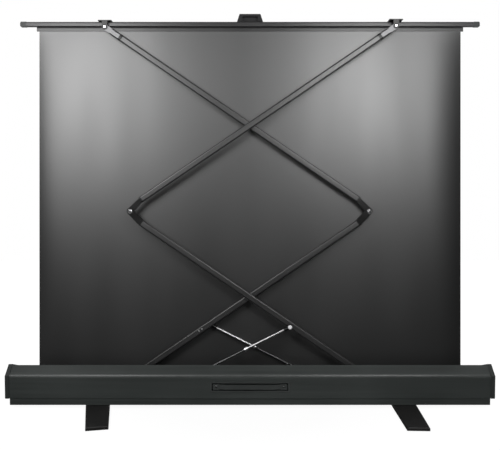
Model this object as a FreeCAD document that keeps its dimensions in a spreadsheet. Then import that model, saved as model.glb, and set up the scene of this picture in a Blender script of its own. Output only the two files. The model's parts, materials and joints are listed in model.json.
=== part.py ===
import FreeCAD, Part
import math
import os

import Sketcher

# Floor-standing projection screen: a cloth on a spring roller, pulled up out of a low case
# by two crossed pairs of folding arms that gas struts hold at any height.
# Frame: +X along the case, -Y towards the back (the side with the arms), +Z up, floor at z = 0.

DRIVING_SIZES = [
    ("fabric_width", 1700, "viewing cloth, side to side"),
    ("fabric_thick", 0.5, "viewing cloth"),
    ("fabric_gap", 0.3, "running gap beside the cloth"),
    ("arm_length", 1287, "arm, end pivot to elbow, along the tube"),
    ("arm_angle", 34.25, "slope of a raised arm, degrees"),
    ("elbow_offset", 14, "elbow axis off the middle of the tube"),
    ("pivot_span", 580, "end pivots from the middle of the screen"),
    ("pivot_height", 32, "lower pivots above the floor"),
    ("arm_width", 25, "arm tube, tall side"),
    ("arm_thick", 12, "arm tube, thin side"),
    ("arm_wall", 1.5, "arm tube wall"),
    ("arm_start", 70, "end pivot to the end of the tube"),
    ("elbow_reach", 65, "elbow axis to the end of the tube"),
    ("plug_length", 30, "end fitting inside the tube"),
    ("collar_length", 6, "elbow fitting shoulder against the tube"),
    ("end_collar", 40, "full body of an end fitting, up to the tube"),
    ("rear_chain_y", -10, "middle plane of the rear arms"),
    ("chain_gap", 3, "clear space between rear and front arms"),
    ("tongue_thick", 6, "tongue of an arm end"),
    ("fork_clear", 0.3, "side play of a tongue in its fork"),
    ("pin_radius", 4, "arm pivot pins"),
    ("pin_clear", 0.05, "running clearance round pins"),
    ("head_radius", 6.5, "rivet head"),
    ("head_height", 2.2, "rivet head"),
    ("head_rim", 0.9, "rivet head, height of its straight edge"),
    ("head_flat", 3.6, "rivet head, radius of its flat top"),
    ("eye_radius", 11, "eye of an end pivot"),
    ("elbow_eye", 13, "eye of an elbow"),
    ("case_margin", 83, "cloth edge to the end of the case extrusion"),
    ("half_depth", 75, "case, middle to shoulder"),
    ("face_foot", 71, "case, middle to the foot of the face"),
    ("band_half", 68, "case, middle to the set-back lower band"),
    ("base_half", 66, "case, middle to the bottom edge"),
    ("base_z", 16, "underside of the case"),
    ("band_z", 43, "top of the lower band"),
    ("shoulder_z", 131, "widest line of the case"),
    ("ridge_z", 164, "edge of the rear roof slope"),
    ("ridge_inset", 38, "shoulder to ridge"),
    ("shoulder_round", 18, "rounding of the rear shoulder, outside"),
    ("case_wall", 2.5, "case wall"),
    ("roof_wall", 3.2, "roof slope, measured upright"),
    ("ridge_lip", 7, "turned-down lip at the ridge"),
    ("front_lip", 8, "inward lip at the front shoulder"),
    ("cap_thick", 17, "end cap"),
    ("cap_proud", 4, "end cap proud of the extrusion"),
    ("cap_round", 4, "end cap outer edge"),
    ("bulkhead_thick", 3, "steel plate inside each end"),
    ("fit_gap", 0.3, "clearance of seated pieces"),
    ("tray_length", 300, "carry handle recess"),
    ("tray_height", 34, "carry handle recess"),
    ("tray_depth", 19, "carry handle recess"),
    ("tray_wall", 2, "carry handle recess"),
    ("tray_flange", 8, "rim round the recess"),
    ("tray_rim", 1.5, "rim thickness"),
    ("tray_z", 88, "middle of the carry handle"),
    ("block_inset", 18, "end of the recess to the middle of an end block"),
    ("strap_width", 18, "carry handle strap"),
    ("strap_thick", 4, "carry handle strap"),
    ("strap_rise", 5, "bow of the strap"),
    ("strap_ramp", 24, "end block to the bowed middle of the strap"),
    ("block_length", 24, "carry handle end block"),
    ("block_width", 22, "carry handle end block"),
    ("bracket_width", 20, "arm bracket ears"),
    ("bracket_base", 1.8, "arm bracket base plate"),
    ("bracket_flange", 28, "arm bracket flange beside the ears"),
    ("bracket_half", 25, "arm bracket flange, half length"),
    ("strut_reach", 505.5, "lower pivot to the strut's ball, along the arm"),
    ("strut_drop", 7.5, "strut's ball below the middle of the arm"),
    ("strut_side", 15, "strut axis beside the arm's middle"),
    ("strut_angle", 26.6, "slope of the strut, degrees"),
    ("strut_length", 575, "strut between its two pivots, raised"),
    ("ball_radius", 5, "strut ball stud"),
    ("stud_radius", 2.5, "strut ball stud shank"),
    ("mouth_clear", 1.5, "stud shank in the mouth of its socket"),
    ("lug_half", 16, "strut lug on the arm, half length"),
    ("lug_radius", 6, "strut lug, rounding about the stud"),
    ("lug_top", 5, "strut lug above the middle of the arm"),
    ("lug_thick", 1.5, "strut lug"),
    ("nut_radius", 8.5, "strut ball stud nut"),
    ("nut_crown", 5, "flat top of the stud nut, radius"),
    ("nut_depth", 3.5, "strut ball stud nut"),
    ("socket_radius", 7, "strut plastic socket"),
    ("socket_length", 26, "strut plastic socket"),
    ("sleeve_radius", 5.5, "strut extension sleeve"),
    ("sleeve_end", 185, "strut pivot to the end of the sleeve"),
    ("collar_radius", 8.5, "strut lock collar"),
    ("collar_width", 15, "strut lock collar"),
    ("rod_radius", 3.5, "strut rod"),
    ("rod_inside", 30, "rod inside the raised cylinder"),
    ("rod_clear", 0.1, "rod in its gland"),
    ("cylinder_radius", 7.5, "strut cylinder"),
    ("cylinder_bore", 5.5, "strut cylinder bore radius"),
    ("cylinder_length", 200, "strut cylinder"),
    ("gland_length", 8, "strut cylinder gland and base"),
    ("anchor_thick", 2, "strut anchor plate"),
    ("anchor_half", 20, "strut anchor plate half length"),
    ("anchor_rise", 6, "strut anchor plate above the pivot"),
    ("anchor_flange", 18, "strut anchor plate foot"),
    ("bar_overhang", 48, "top bar past the cloth, each end"),
    ("bar_depth", 16, "top bar"),
    ("bar_height", 20, "top bar"),
    ("bar_wall", 1.5, "top bar wall"),
    ("bar_rise", 24, "upper pivots to the top of the bar"),
    ("bar_gap", 0.5, "front rivet heads to the top bar"),
    ("bar_cap", 25, "top bar end cap"),
    ("bar_cap_bevel", 4, "bevel round the end of a bar cap"),
    ("saddle_half", 27, "pivot saddle, half length"),
    ("saddle_plate", 3, "pivot saddle top plate"),
    ("clamp_leaf", 1.4, "cloth clamp leaves"),
    ("clamp_drop", 15.2, "cloth clamp below the bar"),
    ("clamp_seat", 12, "cloth clamp against the bar"),
    ("clamp_bite", 11, "cloth held in the clamp"),
    ("grip_base", 104, "pull handle, foot"),
    ("grip_top", 84, "pull handle, top"),
    ("grip_height", 31, "pull handle"),
    ("grip_depth", 14, "pull handle"),
    ("grip_hollow", 60, "finger recess, side to side"),
    ("grip_bar", 10, "pull handle, bar above the finger recess"),
    ("grip_web", 3, "pull handle, web in front of the finger recess"),
    ("grip_foot", 3, "pull handle foot plate"),
    ("grip_round", 3, "pull handle edges"),
    ("roller_z", 54, "roller axis above the floor"),
    ("roller_radius", 14, "roller tube"),
    ("roller_wall", 1.2, "roller tube wall"),
    ("roller_extra", 10, "roller tube past the cloth, each end"),
    ("roll_turns", 2, "turns of cloth left on the roller"),
    ("arbor_radius", 4, "fixed spindle in the roller"),
    ("arbor_length", 460, "fixed spindle in the roller"),
    ("arbor_clear", 0.08, "running clearance on spindles"),
    ("spring_radius", 9, "roller spring"),
    ("spring_wall", 2, "roller spring wire"),
    ("spring_length", 380, "roller spring"),
    ("plug_depth", 30, "roller end plug"),
    ("plug_flange", 3, "roller end plug flange"),
    ("foot_inset", 327, "foot pivots in from the ends of the case"),
    ("foot_half", 310, "foot, pivot to tip"),
    ("foot_tip", 80, "foot width at the tip"),
    ("foot_waist", 92, "foot width at the pivot"),
    ("foot_shoulder", 60, "wide part of the foot, pivot to taper"),
    ("foot_thick", 12, "foot"),
    ("foot_bevel", 3, "bevel round the top of the foot"),
    ("pad_thick", 2, "rubber pad under the foot"),
    ("pad_length", 60, "rubber pad under the foot"),
    ("pad_inset", 8, "rubber pad inside the foot's edge"),
    ("boss_radius", 30, "turning boss on the foot"),
    ("left_swing", 12.5, "left foot turned in, degrees"),
    ("right_swing", 2.5, "right foot turned in, degrees"),
    ("bolt_radius", 5, "foot pivot bolt"),
    ("bolt_clear", 0.1, "foot pivot bolt in the foot"),
    ("bolt_head", 9, "foot pivot bolt head and nut radius"),
    ("bolt_head_height", 4, "foot pivot bolt head"),
    ("nut_height", 5, "foot pivot nut"),
    ("hinge_out", 5, "lid hinge axis in front of the shoulder"),
    ("hinge_radius", 3.5, "lid hinge barrel"),
    ("hinge_pin", 1.5, "lid hinge pin radius"),
    ("hinge_barrel", 24, "lid hinge barrel length"),
    ("hinge_leaf", 1.5, "lid hinge leaf"),
    ("hinge_drop", 20, "lid hinge leaf on the case"),
    ("hinge_reach", 22, "lid hinge leaf on the lid"),
    ("hinge_inset", 153, "outer lid hinges in from the ends of the case"),
    ("lid_gap", 3, "lid to the ends of the case"),
    ("lid_depth", 114, "lid, hinge to free edge"),
    ("lid_start", 6, "lid plate, hinge to its near edge"),
    ("lid_wall", 2, "lid"),
    ("lid_lip", 8, "lid edge lip"),
    ("lid_open", 250, "lid turned open from shut, degrees"),
]

doc = FreeCAD.newDocument("projection_screen")
sheet = doc.addObject("Spreadsheet::Sheet", "dims")


class Size:
    """A number together with the sheet formula that gives it."""

    def __init__(self, value, formula):
        self.value = value
        self.formula = formula

    def __neg__(self):
        return Size(-self.value, f"(-1 * {self.formula})")

    def __add__(self, other):
        other = as_size(other)
        return Size(self.value + other.value, f"({self.formula} + {other.formula})")

    def __sub__(self, other):
        other = as_size(other)
        return Size(self.value - other.value, f"({self.formula} - {other.formula})")

    def __mul__(self, other):
        other = as_size(other)
        return Size(self.value * other.value, f"({self.formula} * {other.formula})")

    def __truediv__(self, other):
        other = as_size(other)
        return Size(self.value / other.value, f"({self.formula} / {other.formula})")

    def __radd__(self, other):
        return as_size(other) + self

    def __rsub__(self, other):
        return as_size(other) - self

    def __rmul__(self, other):
        return as_size(other) * self


def as_size(number):
    """A plain number as a Size."""
    if isinstance(number, Size):
        return number
    return Size(float(number), f"({float(number)})")


def cosine(angle):
    return Size(math.cos(math.radians(angle.value)), f"cos({angle.formula})")


def sine(angle):
    return Size(math.sin(math.radians(angle.value)), f"sin({angle.formula})")


def arctangent(rise, run):
    """The slope of a rise over a run, in degrees."""
    angle = math.degrees(math.atan2(rise.value, run.value))
    return Size(angle, f"(atan2({rise.formula}; {run.formula}) / 1 deg)")


class Sizes:
    """The driving dimensions, one attribute for each row of the sheet."""


def fill_sheet():
    """Write the driving dimensions to the sheet and hand them back by name."""
    sizes = Sizes()
    for row, (name, value, note) in enumerate(DRIVING_SIZES, start=1):
        sheet.set(f"A{row}", note)
        sheet.set(f"B{row}", str(value))
        sheet.setAlias(f"B{row}", name)
        setattr(sizes, name, Size(float(value), f"dims.{name}"))
    doc.recompute()
    return sizes


d = fill_sheet()

# Sizes and places that follow from the driving dimensions
CASE_LENGTH = d.fabric_width + 2 * d.case_margin
BAR_LENGTH = d.fabric_width + 2 * d.bar_overhang
LID_LENGTH = CASE_LENGTH - 2 * d.lid_gap
FOOT_X = CASE_LENGTH / 2 - d.foot_inset
HINGE_X = CASE_LENGTH / 2 - d.hinge_inset
FRONT_CHAIN_Y = d.rear_chain_y + d.arm_thick + d.chain_gap
ARM_RISE = d.arm_length * sine(d.arm_angle) + d.elbow_offset * cosine(d.arm_angle)
TOP_PIVOT_Z = d.pivot_height + 2 * ARM_RISE
FLOOR_Z = d.base_z + d.case_wall
EAR_THICK = (d.arm_thick - d.tongue_thick) / 2 - d.fork_clear
EAR_MIDDLE = (d.arm_thick - EAR_THICK) / 2
BAR_REAR_Y = FRONT_CHAIN_Y + d.arm_thick / 2 + d.head_height + d.bar_gap
BAR_FRONT_Y = BAR_REAR_Y + d.bar_depth
BAR_TOP_Z = TOP_PIVOT_Z + d.bar_rise
BAR_BOTTOM_Z = BAR_TOP_Z - d.bar_height
FABRIC_REAR_Y = BAR_FRONT_Y + d.clamp_leaf + d.fabric_gap
FABRIC_FRONT_Y = FABRIC_REAR_Y + d.fabric_thick
FABRIC_TOP_Z = BAR_BOTTOM_Z - d.clamp_drop + d.clamp_bite
ROLL_RADIUS = d.roller_radius + d.roll_turns * d.fabric_thick
ROLLER_Y = FABRIC_FRONT_Y + d.fabric_gap + ROLL_RADIUS
RIDGE_Y = d.ridge_inset - d.half_depth
ROOF_SLOPE = (d.ridge_z - d.shoulder_z) / d.ridge_inset
HINGE_Y = d.half_depth + d.hinge_out
CYLINDER_END = d.strut_length - d.socket_length
CYLINDER_START = CYLINDER_END - d.cylinder_length
STRUT_TOP_X = d.pivot_span - d.strut_reach * cosine(d.arm_angle) - d.strut_drop * sine(d.arm_angle)
STRUT_TOP_Z = d.pivot_height + d.strut_reach * sine(d.arm_angle) - d.strut_drop * cosine(d.arm_angle)
ANCHOR_X = STRUT_TOP_X - d.strut_length * cosine(d.strut_angle)
ANCHOR_Z = STRUT_TOP_Z - d.strut_length * sine(d.strut_angle)
STRAP_HALF = d.tray_length / 2 - d.block_inset
FACE_LEAN = arctangent(d.half_depth - d.face_foot, d.shoulder_z - d.band_z)
LID_SHUT = arctangent(d.ridge_z - d.shoulder_z, RIDGE_Y - HINGE_Y)

CHAINS = ("rear", "front")
SIDES = (("left", -1), ("right", 1))
# Lid hinges, as shares of the distance from the middle to the outer hinges
HINGE_PLACES = (-1, -1 / 3, 1 / 3, 1)
# Slack when edges are picked by their place or their direction
TOUCH = 0.01
PARALLEL = 0.999
pieces = []


def keep(piece, label):
    """Name a finished sub-part and put it on the list of pieces to write."""
    piece.Label = label
    pieces.append(piece)
    return piece


def shift(x=0, y=0, z=0):
    parts = [as_size(value).formula for value in (x, y, z)]
    return f"placement(vector({'; '.join(parts)}); rotation(vector(0; 0; 1); 0))"


def turn(axis, angle):
    """A turn about X, Y or Z, in degrees."""
    directions = {"x": "1; 0; 0", "y": "0; 1; 0", "z": "0; 0; 1"}
    return f"placement(vector(0; 0; 0); rotation(vector({directions[axis]}); {as_size(angle).formula}))"


def place(piece, *steps):
    """Bind a piece's Placement to a chain of shifts and turns."""
    if steps:
        piece.setExpression("Placement", " * ".join(steps))
    return piece


LOWER_FRAME = {
    "rear": (shift(d.pivot_span, d.rear_chain_y, d.pivot_height), turn("z", 180), turn("y", -d.arm_angle)),
    "front": (shift(-d.pivot_span, FRONT_CHAIN_Y, d.pivot_height), turn("y", -d.arm_angle)),
}
UPPER_FRAME = {
    "rear": (shift(d.pivot_span, d.rear_chain_y, TOP_PIVOT_Z), turn("y", 180 - d.arm_angle)),
    "front": (shift(-d.pivot_span, FRONT_CHAIN_Y, TOP_PIVOT_Z), turn("z", 180),
              turn("y", 180 - d.arm_angle)),
}
STRUT_FRAME = {
    "rear": (shift(STRUT_TOP_X, d.rear_chain_y - d.strut_side, STRUT_TOP_Z), turn("z", 180),
             turn("y", d.strut_angle)),
    "front": (shift(-STRUT_TOP_X, FRONT_CHAIN_Y + d.strut_side, STRUT_TOP_Z), turn("y", d.strut_angle)),
}
CHAIN_FOOT = {
    "rear": (shift(d.pivot_span, d.rear_chain_y, d.pivot_height), turn("z", 180)),
    "front": (shift(-d.pivot_span, FRONT_CHAIN_Y, d.pivot_height),),
}
LID_FRAME = (shift(0, HINGE_Y, d.shoulder_z), turn("x", LID_SHUT - d.lid_open))


def new_body(label):
    return doc.addObject("PartDesign::Body", label)


def sketch_on(body, role, offset=None):
    """An empty sketch on one of the body's origin planes, moved along the plane's normal."""
    sketch = body.newObject("Sketcher::SketchObject", body.Name + "_sketch")
    plane = [feature for feature in body.Origin.OriginFeatures if feature.Role == role][0]
    sketch.AttachmentSupport = [(plane, "")]
    sketch.MapMode = "FlatFace"
    if offset is not None:
        sketch.setExpression("AttachmentOffset.Base.z", as_size(offset).formula)
    return sketch


def pin_point(sketch, geometry, position, u, v):
    """Hold a point of the sketch at u, v, each bound to its formula. None leaves one free."""
    for kind, coordinate in (("DistanceX", u), ("DistanceY", v)):
        if coordinate is None:
            continue
        size = as_size(coordinate)
        index = sketch.addConstraint(Sketcher.Constraint(kind, -1, 1, geometry, position, size.value))
        sketch.setExpression(f"Constraints[{index}]", size.formula)


def draw_loop(sketch, corners):
    """A closed loop. A corner written (u, v, "arc") starts a half circle, drawn anticlockwise."""
    points = [FreeCAD.Vector(as_size(c[0]).value, as_size(c[1]).value, 0) for c in corners]
    edges = []
    for index, corner in enumerate(corners):
        start = points[index]
        end = points[(index + 1) % len(points)]
        if len(corner) == 3:
            middle = (start + end) / 2
            circle = Part.Circle(middle, FreeCAD.Vector(0, 0, 1), (end - start).Length / 2)
            angle = math.atan2(start.y - middle.y, start.x - middle.x)
            curve = Part.ArcOfCircle(circle, angle, angle + math.pi)
        else:
            curve = Part.LineSegment(start, end)
        edges.append(sketch.addGeometry(curve, False))
    for index, edge in enumerate(edges):
        following = edges[(index + 1) % len(edges)]
        sketch.addConstraint(Sketcher.Constraint("Coincident", edge, 2, following, 1))
    for edge, corner in zip(edges, corners):
        pin_point(sketch, edge, 1, corner[0], corner[1])
        if len(corner) == 3:
            arc = sketch.Geometry[edge]
            level = abs(arc.StartPoint.y - arc.EndPoint.y) < TOUCH
            pin_point(sketch, edge, 3, None if level else corner[0], corner[1] if level else None)


def draw_circle(sketch, u, v, radius):
    centre = FreeCAD.Vector(as_size(u).value, as_size(v).value, 0)
    circle = sketch.addGeometry(Part.Circle(centre, FreeCAD.Vector(0, 0, 1), radius.value), False)
    index = sketch.addConstraint(Sketcher.Constraint("Radius", circle, radius.value))
    sketch.setExpression(f"Constraints[{index}]", radius.formula)
    pin_point(sketch, circle, 3, u, v)


def rectangle(u_low, v_low, u_high, v_high):
    return [(u_low, v_low), (u_high, v_low), (u_high, v_high), (u_low, v_high)]


def pad(body, sketch, length, both_ways=False, backwards=False):
    feature = body.newObject("PartDesign::Pad", body.Name + "_pad")
    feature.Profile = sketch
    feature.setExpression("Length", as_size(length).formula)
    feature.SideType = "Symmetric" if both_ways else "One side"
    feature.Reversed = backwards
    return feature


def pocket(body, sketch, length, both_ways=False, backwards=False):
    """Cut the sketch into the body, and stop the build if the cut meets nothing."""
    doc.recompute()
    before = body.Shape.Volume
    feature = body.newObject("PartDesign::Pocket", body.Name + "_pocket")
    feature.Profile = sketch
    feature.setExpression("Length", as_size(length).formula)
    feature.SideType = "Symmetric" if both_ways else "One side"
    feature.Reversed = backwards
    doc.recompute()
    if body.Shape.Volume >= before:
        raise RuntimeError(f"{body.Name}: a pocket cuts nothing")
    return feature


def extruded(label, role, loops, length, *steps):
    """A body padded both ways from one of the origin planes."""
    body = new_body(label)
    sketch = sketch_on(body, role)
    for loop in loops:
        draw_loop(sketch, loop)
    pad(body, sketch, length, both_ways=True)
    return place(body, *steps)


def revolved(label, corners, *steps):
    """A body turned about its own X axis from a half profile above that axis."""
    body = new_body(label)
    sketch = sketch_on(body, "XZ_Plane")
    draw_loop(sketch, corners)
    feature = body.newObject("PartDesign::Revolution", label + "_turned")
    feature.Profile = sketch
    feature.ReferenceAxis = (sketch, ["H_Axis"])
    feature.Angle = 360
    return place(body, *steps)


def soften(body, radius, chosen, kind="Fillet"):
    """Round or bevel the edges of the body that the test picks."""
    doc.recompute()
    tip = body.Tip
    names = [f"Edge{number}" for number, edge in enumerate(tip.Shape.Edges, start=1) if chosen(edge)]
    feature = body.newObject(f"PartDesign::{kind}", body.Name + "_edges")
    feature.Base = (tip, names)
    feature.setExpression("Radius" if kind == "Fillet" else "Size", as_size(radius).formula)
    return body


def runs_along(axis):
    """A test for straight edges along X, Y or Z of the body."""
    def test(edge):
        if edge.Curve.TypeId != "Part::GeomLine":
            return False
        ends = [vertex.Point for vertex in edge.Vertexes]
        return abs((ends[1] - ends[0]).normalize()["xyz".index(axis)]) > PARALLEL
    return test


def along_x_at(y, z):
    """A test for straight edges along X through a place in the YZ plane."""
    along = runs_along("x")

    def test(edge):
        point = edge.Vertexes[0].Point
        return along(edge) and abs(point.y - y.value) < TOUCH and abs(point.z - z.value) < TOUCH
    return test


def block(x, y, z, *steps):
    """A box from three (low, high) pairs."""
    box = doc.addObject("Part::Box", "block")
    for name, (low, high) in zip(("Length", "Width", "Height"), (x, y, z)):
        box.setExpression(name, (as_size(high) - low).formula)
    return place(box, *steps, shift(x[0], y[0], z[0]))


def rod_along(axis, radius, low, high, *steps):
    """A cylinder along the local X, Y or Z axis, between two places on it."""
    turned = {"x": (turn("y", 90),), "y": (turn("x", -90),), "z": ()}[axis]
    starts = {"x": (low, 0, 0), "y": (0, low, 0), "z": (0, 0, low)}[axis]
    rod = doc.addObject("Part::Cylinder", "rod")
    rod.setExpression("Radius", as_size(radius).formula)
    rod.setExpression("Height", (as_size(high) - low).formula)
    return place(rod, *steps, shift(*starts), *turned)


def ball(radius, *steps):
    sphere = doc.addObject("Part::Sphere", "ball")
    sphere.setExpression("Radius", as_size(radius).formula)
    return place(sphere, *steps)


def joined(*shapes):
    feature = doc.addObject("Part::MultiFuse", "joined")
    feature.Shapes = list(shapes)
    return feature


def cut(base, *tools):
    feature = doc.addObject("Part::Cut", "cut")
    feature.Base = base
    feature.Tool = tools[0] if len(tools) == 1 else joined(*tools)
    return feature


def group(*shapes):
    """Identical loose pieces kept as separate solids of one node."""
    feature = doc.addObject("Part::Compound", "group")
    feature.Links = list(shapes)
    return feature


def make_case_shell():
    inner_face = d.face_foot - d.case_wall
    inner_band = d.band_half - d.case_wall
    inner_base = d.base_half - d.case_wall
    inner_shoulder = d.half_depth - d.case_wall
    lip_y = d.half_depth - d.front_lip
    step_z = d.band_z + d.case_wall
    roof_run = ROOF_SLOPE * d.case_wall
    profile = [
        (RIDGE_Y, d.ridge_z),
        (-d.half_depth, d.shoulder_z),
        (-d.face_foot, d.band_z),
        (-d.band_half, d.band_z),
        (-d.base_half, d.base_z),
        (d.base_half, d.base_z),
        (d.band_half, d.band_z),
        (d.face_foot, d.band_z),
        (d.half_depth, d.shoulder_z),
        (lip_y, d.shoulder_z),
        (lip_y, d.shoulder_z - d.case_wall),
        (inner_shoulder, d.shoulder_z - d.case_wall),
        (inner_face, step_z),
        (inner_band, step_z),
        (inner_base, FLOOR_Z),
        (-inner_base, FLOOR_Z),
        (-inner_band, step_z),
        (-inner_face, step_z),
        (-inner_shoulder, d.shoulder_z + roof_run - d.roof_wall),
        (RIDGE_Y - d.case_wall, d.ridge_z - roof_run - d.roof_wall),
        (RIDGE_Y - d.case_wall, d.ridge_z - d.ridge_lip),
        (RIDGE_Y, d.ridge_z - d.ridge_lip),
    ]
    shell = extruded("case_shell", "YZ_Plane", [profile], CASE_LENGTH)
    soften(shell, d.shoulder_round, along_x_at(-d.half_depth, d.shoulder_z))
    soften(shell, d.shoulder_round - d.case_wall,
           along_x_at(-inner_shoulder, d.shoulder_z + roof_run - d.roof_wall))
    window = sketch_on(shell, "XZ_Plane")
    half_length = d.tray_length / 2 + d.fit_gap
    half_height = d.tray_height / 2 + d.fit_gap
    draw_loop(window, rectangle(-half_length, d.tray_z - half_height, half_length, d.tray_z + half_height))
    pocket(shell, window, d.half_depth, backwards=True)
    holes = sketch_on(shell, "XY_Plane")
    for _, side in SIDES:
        draw_circle(holes, side * FOOT_X, 0, d.bolt_radius + d.bolt_clear)
    pocket(shell, holes, FLOOR_Z + d.nut_height, backwards=True)
    keep(shell, "case_shell")


def make_end_caps():
    outline = [
        (RIDGE_Y, d.ridge_z + d.cap_proud),
        (-d.half_depth - d.cap_proud, d.shoulder_z),
        (-d.face_foot - d.cap_proud, d.band_z),
        (d.face_foot + d.cap_proud, d.band_z),
        (d.half_depth + d.cap_proud, d.shoulder_z),
    ]
    for name, side in SIDES:
        outer_x = side * d.cap_thick.value / 2
        cap = extruded(f"end_cap_{name}", "YZ_Plane", [outline], d.cap_thick,
                       shift(side * (CASE_LENGTH + d.cap_thick) / 2))
        soften(cap, d.cap_round,
               lambda edge: all(abs(vertex.X - outer_x) < TOUCH for vertex in edge.Vertexes))
        keep(cap, f"end_cap_{name}")


def make_bulkheads():
    """Steel plates inside the ends that carry the roller and take the end cap screws."""
    play = d.fit_gap
    base = d.base_half - d.case_wall - play
    band = d.band_half - d.case_wall - play
    low = FLOOR_Z + play
    step = d.band_z + d.case_wall
    top = d.shoulder_z - d.case_wall - play
    outline = [(-base, low), (base, low), (band, step), (band, top), (-band, top), (-band, step)]
    for name, side in SIDES:
        plate = extruded(f"bulkhead_{name}", "YZ_Plane", [outline], d.bulkhead_thick,
                         shift(side * (CASE_LENGTH - d.bulkhead_thick) / 2))
        bore = sketch_on(plate, "YZ_Plane")
        clearance = d.pin_clear if name == "left" else d.arbor_clear
        draw_circle(bore, ROLLER_Y, d.roller_z, d.arbor_radius + clearance)
        pocket(plate, bore, d.bulkhead_thick * 2, both_ways=True)
        keep(plate, f"bulkhead_{name}")


def make_carry_handle():
    """A strap in a recessed tray on the rear face, held by a block at each end."""
    middle_y = (d.half_depth - d.face_foot) * (d.tray_z - d.band_z) / (d.shoulder_z - d.band_z) + d.face_foot
    frame = (shift(0, -middle_y, d.tray_z), turn("x", FACE_LEAN))
    half_length = d.tray_length / 2
    half_height = d.tray_height / 2
    rim = block((-half_length - d.tray_flange, half_length + d.tray_flange), (-d.tray_rim, 0),
                (-half_height - d.tray_flange / 2, half_height + d.tray_flange / 2))
    tub = block((-half_length, half_length), (0, d.tray_depth), (-half_height, half_height))
    hollow = block((d.tray_wall - half_length, half_length - d.tray_wall),
                   (-d.tray_rim * 2, d.tray_depth - d.tray_wall),
                   (d.tray_wall - half_height, half_height - d.tray_wall))
    tray_floor = d.tray_depth - d.tray_wall
    keep(place(cut(joined(rim, tub), hollow), *frame), "handle_tray")

    strap = new_body("handle_strap")
    sketch = sketch_on(strap, "XY_Plane", -d.strap_width / 2)
    inner_end = STRAP_HALF - d.block_length / 2
    bow = inner_end - d.strap_ramp
    draw_loop(sketch, [(-inner_end, 0), (-bow, -d.strap_rise), (bow, -d.strap_rise), (inner_end, 0),
                       (inner_end, d.strap_thick), (bow, d.strap_thick - d.strap_rise),
                       (-bow, d.strap_thick - d.strap_rise), (-inner_end, d.strap_thick)])
    pad(strap, sketch, d.strap_width)
    keep(place(strap, *frame), "handle_strap")

    blocks = []
    for _, side in SIDES:
        end = extruded("handle_block", "XZ_Plane",
                       [rectangle(-d.block_length / 2, -d.block_width / 2,
                                  d.block_length / 2, d.block_width / 2)],
                       tray_floor + d.tray_rim, *frame,
                       shift(side * STRAP_HALF, (tray_floor - d.tray_rim) / 2))
        blocks.append(soften(end, d.tray_wall, runs_along("y")))
    keep(group(*blocks), "handle_blocks")


def make_arm_brackets():
    """Forks on the case floor for the lower pivots, each with a flange to one side."""
    low = FLOOR_Z - d.pivot_height
    half = d.bracket_width / 2
    pins = []
    for chain in CHAINS:
        shapes = [block((-half, half), (-d.arm_thick / 2, d.arm_thick / 2), (low, low + d.bracket_base)),
                  block((-d.bracket_half, d.bracket_half),
                        (d.arm_thick / 2, d.arm_thick / 2 + d.bracket_flange), (low, low + d.bracket_base))]
        for side in (-1, 1):
            face = (side * EAR_MIDDLE - EAR_THICK / 2, side * EAR_MIDDLE + EAR_THICK / 2)
            shapes.append(block((-half, half), face, (low, 0)))
            shapes.append(rod_along("y", half, *face))
        bore = rod_along("y", d.pin_radius + d.pin_clear, -d.arm_thick, d.arm_thick)
        keep(place(cut(joined(*shapes), bore), *CHAIN_FOOT[chain]), f"{chain}_arm_bracket")
        pins.append(make_rivet(f"{chain}_foot_pin", *CHAIN_FOOT[chain]))
    keep(group(*pins), "arm_pivot_pins")


def make_rivet(label, *steps):
    """A pivot pin across the local Y axis with a low head at each end."""
    half = d.arm_thick / 2
    rim = half + d.head_rim
    outer = half + d.head_height
    corners = [(-outer, 0), (outer, 0), (outer, d.head_flat), (rim, d.head_radius),
               (half, d.head_radius), (half, d.pin_radius), (-half, d.pin_radius),
               (-half, d.head_radius), (-rim, d.head_radius), (-outer, d.head_flat)]
    return revolved(label, corners, *steps, turn("z", 90))


def oval(half_thick):
    """A flat-sided oval of the arms' section: two straight sides and two half circles."""
    flat = (d.arm_width - d.arm_thick) / 2
    return [(half_thick, -flat), (half_thick, flat, "arc"), (-half_thick, flat), (-half_thick, -flat, "arc")]


def arm_tube(label, frame, with_lug):
    """The flat oval tube of one arm, with a welded lug for the strut's ball stud on a lower arm."""
    half_thick = d.arm_thick / 2
    tube = new_body(label)
    sketch = sketch_on(tube, "YZ_Plane", d.arm_start)
    draw_loop(sketch, oval(half_thick))
    draw_loop(sketch, oval(half_thick - d.arm_wall))
    pad(tube, sketch, d.arm_length - d.elbow_reach - d.arm_start)
    if with_lug:
        middle = d.strut_reach
        lug = sketch_on(tube, "XZ_Plane", -half_thick)
        draw_loop(lug, [(middle - d.lug_radius, -d.strut_drop, "arc"),
                        (middle + d.lug_radius, -d.strut_drop),
                        (middle + d.lug_half, 0), (middle + d.lug_half, d.lug_top),
                        (middle - d.lug_half, d.lug_top), (middle - d.lug_half, 0)])
        pad(tube, lug, d.lug_thick, backwards=True)
        hole = sketch_on(tube, "XZ_Plane", -half_thick - d.lug_thick)
        draw_circle(hole, middle, -d.strut_drop, d.stud_radius)
        pocket(tube, hole, d.lug_thick, backwards=True)
    keep(place(tube, *frame), label)


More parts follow.
